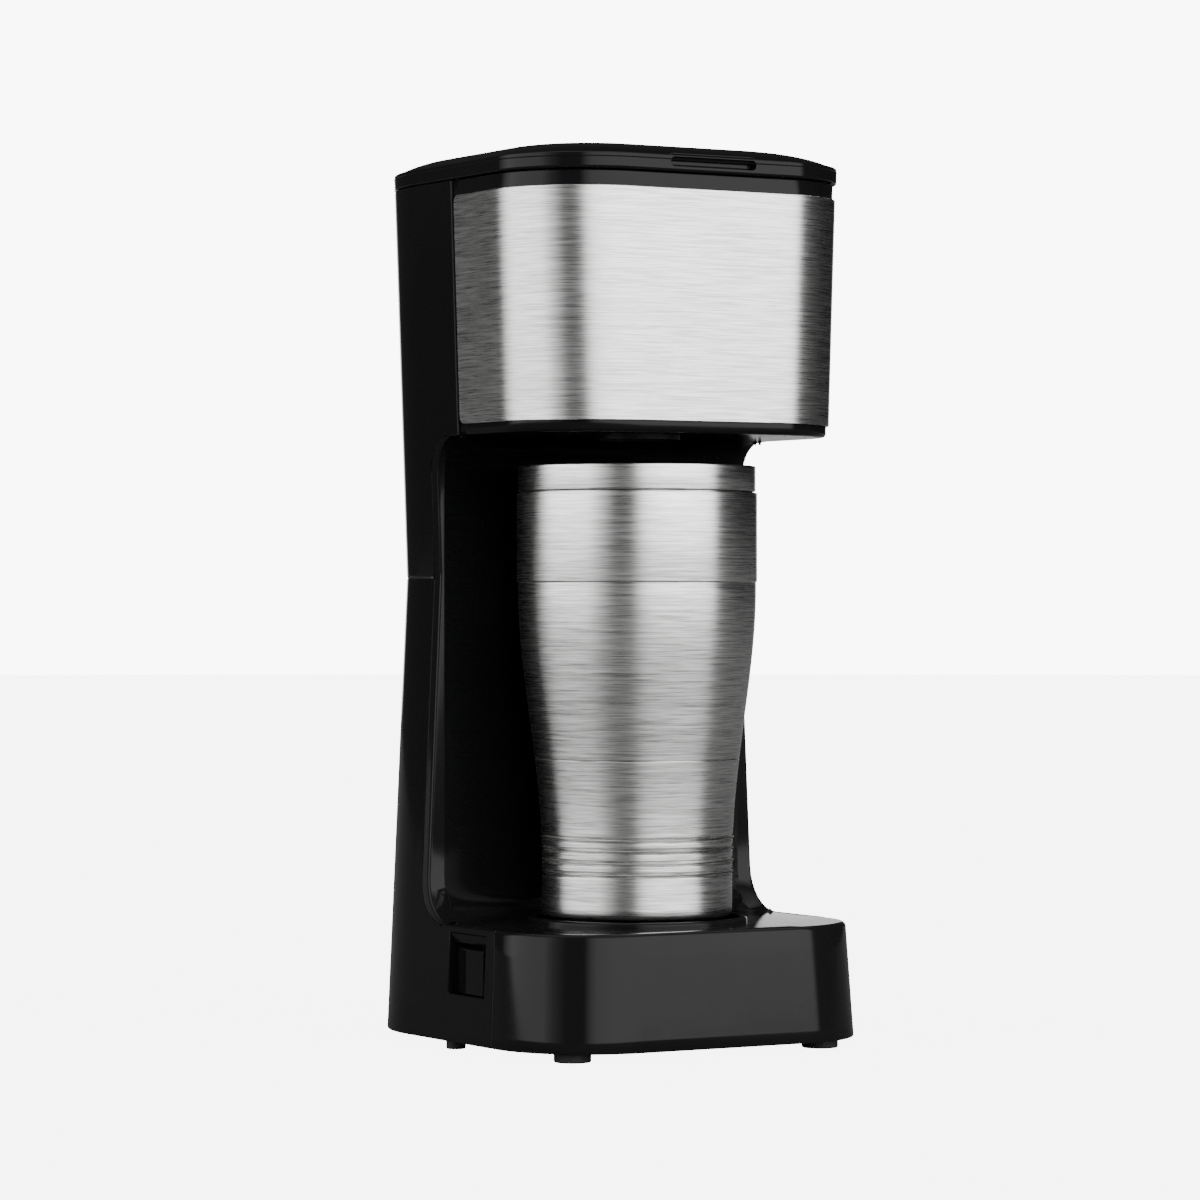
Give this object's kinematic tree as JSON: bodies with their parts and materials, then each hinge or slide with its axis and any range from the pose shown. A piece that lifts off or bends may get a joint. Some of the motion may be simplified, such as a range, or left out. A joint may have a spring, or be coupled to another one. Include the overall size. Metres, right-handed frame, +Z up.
{
  "type": "drip coffee maker",
  "caption": "Single-serve drip coffee maker with a hinged lid, brushed steel head panel, open bay and a stainless travel mug under the brew outlet.",
  "frame": {"origin": "centre of the footprint box on the surface that the feet stand on", "axes": "+Z up; the front with the bay and the steel panel faces -Y; +X to the right seen from the front"},
  "size_m": [0.1412, 0.1582, 0.32],
  "materials": {
    "black_gloss": "polished moulded black plastic",
    "black_satin": "fine-textured black plastic",
    "steel_brushed": "brushed stainless steel, horizontal grain",
    "tank_plastic": "translucent grey moulded plastic",
    "filter_plastic": "black moulded plastic",
    "filter_steel": "fine woven stainless mesh",
    "rubber_black": "soft black rubber",
    "silicone": "milky silicone",
    "valve_plastic": "natural white plastic",
    "ball_glass": "clear glass ball",
    "heater_alloy": "extruded aluminium",
    "element_steel": "heater sheath steel",
    "zinc_steel": "zinc plated steel",
    "thermostat_metal": "plated thermostat can",
    "fuse_sleeve": "woven glass sleeving",
    "wire_sleeve": "grey wire insulation"
  },
  "bodies": {
    "housing": {"base_front_cover": "black_gloss", "base_plate": "black_satin", "base_screws": "zinc_steel", "brew_basket": "black_satin", "brew_deck": "black_satin", "cavity_liner": "black_gloss", "check_valve": "valve_plastic", "cord_gland": "rubber_black", "feet_front": "rubber_black", "feet_rear": "rubber_black", "feet_side": "rubber_black", "filter_frame": "filter_plastic", "filter_mesh": "filter_steel", "head_front_shell": "black_gloss", "head_panel": "steel_brushed", "heater_body": "heater_alloy", "heater_bracket": "zinc_steel", "heater_nipples": "heater_alloy", "heater_screws": "zinc_steel", "heating_element": "element_steel", "hinge_pin": "zinc_steel", "inlet_hose": "silicone", "lead_wires": "wire_sleeve", "lower_rear_shell": "black_gloss", "mug_seat": "black_satin", "riser_hose": "silicone", "shower_arm": "black_satin", "switch_body": "black_satin", "tank_hose": "silicone", "terminal_block": "valve_plastic", "thermal_fuses": "fuse_sleeve", "thermostat": "thermostat_metal", "upper_rear_shell": "black_gloss", "water_tank": "tank_plastic"},
    "lid": {"lid_outer": "black_gloss", "lid_inner": "black_satin", "lid_screws": "zinc_steel"},
    "rocker": {"power_rocker": "black_satin"},
    "mug": {"mug_shell": "steel_brushed", "mug_liner": "steel_brushed", "mug_collar": "steel_brushed", "mug_base_pad": "rubber_black", "mug_lid": "black_satin", "mug_lid_ring": "steel_brushed", "mug_lid_seal": "silicone"},
    "slider": {"mug_slider": "black_satin"},
    "ball": {"check_ball": "ball_glass"}
  },
  "joints": [
    {"name": "lid_hinge", "type": "hinge", "parent": "housing", "child": "lid", "pos_m": [0, 0.0759, 0.3052], "axis": [-1, 0, 0], "range_deg": [0, 95]},
    {"name": "power_switch", "type": "hinge", "parent": "housing", "child": "rocker", "pos_m": [-0.064, -0.0192, 0.0289], "axis": [0, 0, 1], "range_deg": [0, 16]},
    {"name": "mug_slide_out", "type": "slide", "parent": "housing", "child": "mug", "axis": [0, -1, 0], "range_m": [0, 0.14]},
    {"name": "sip_slider", "type": "slide", "parent": "mug", "child": "slider", "axis": [0, 1, 0], "range_m": [0, 0.008]},
    {"name": "check_ball_lift", "type": "slide", "parent": "housing", "child": "ball", "axis": [0, 0, 1], "range_m": [0, 0.006]}
  ]
}
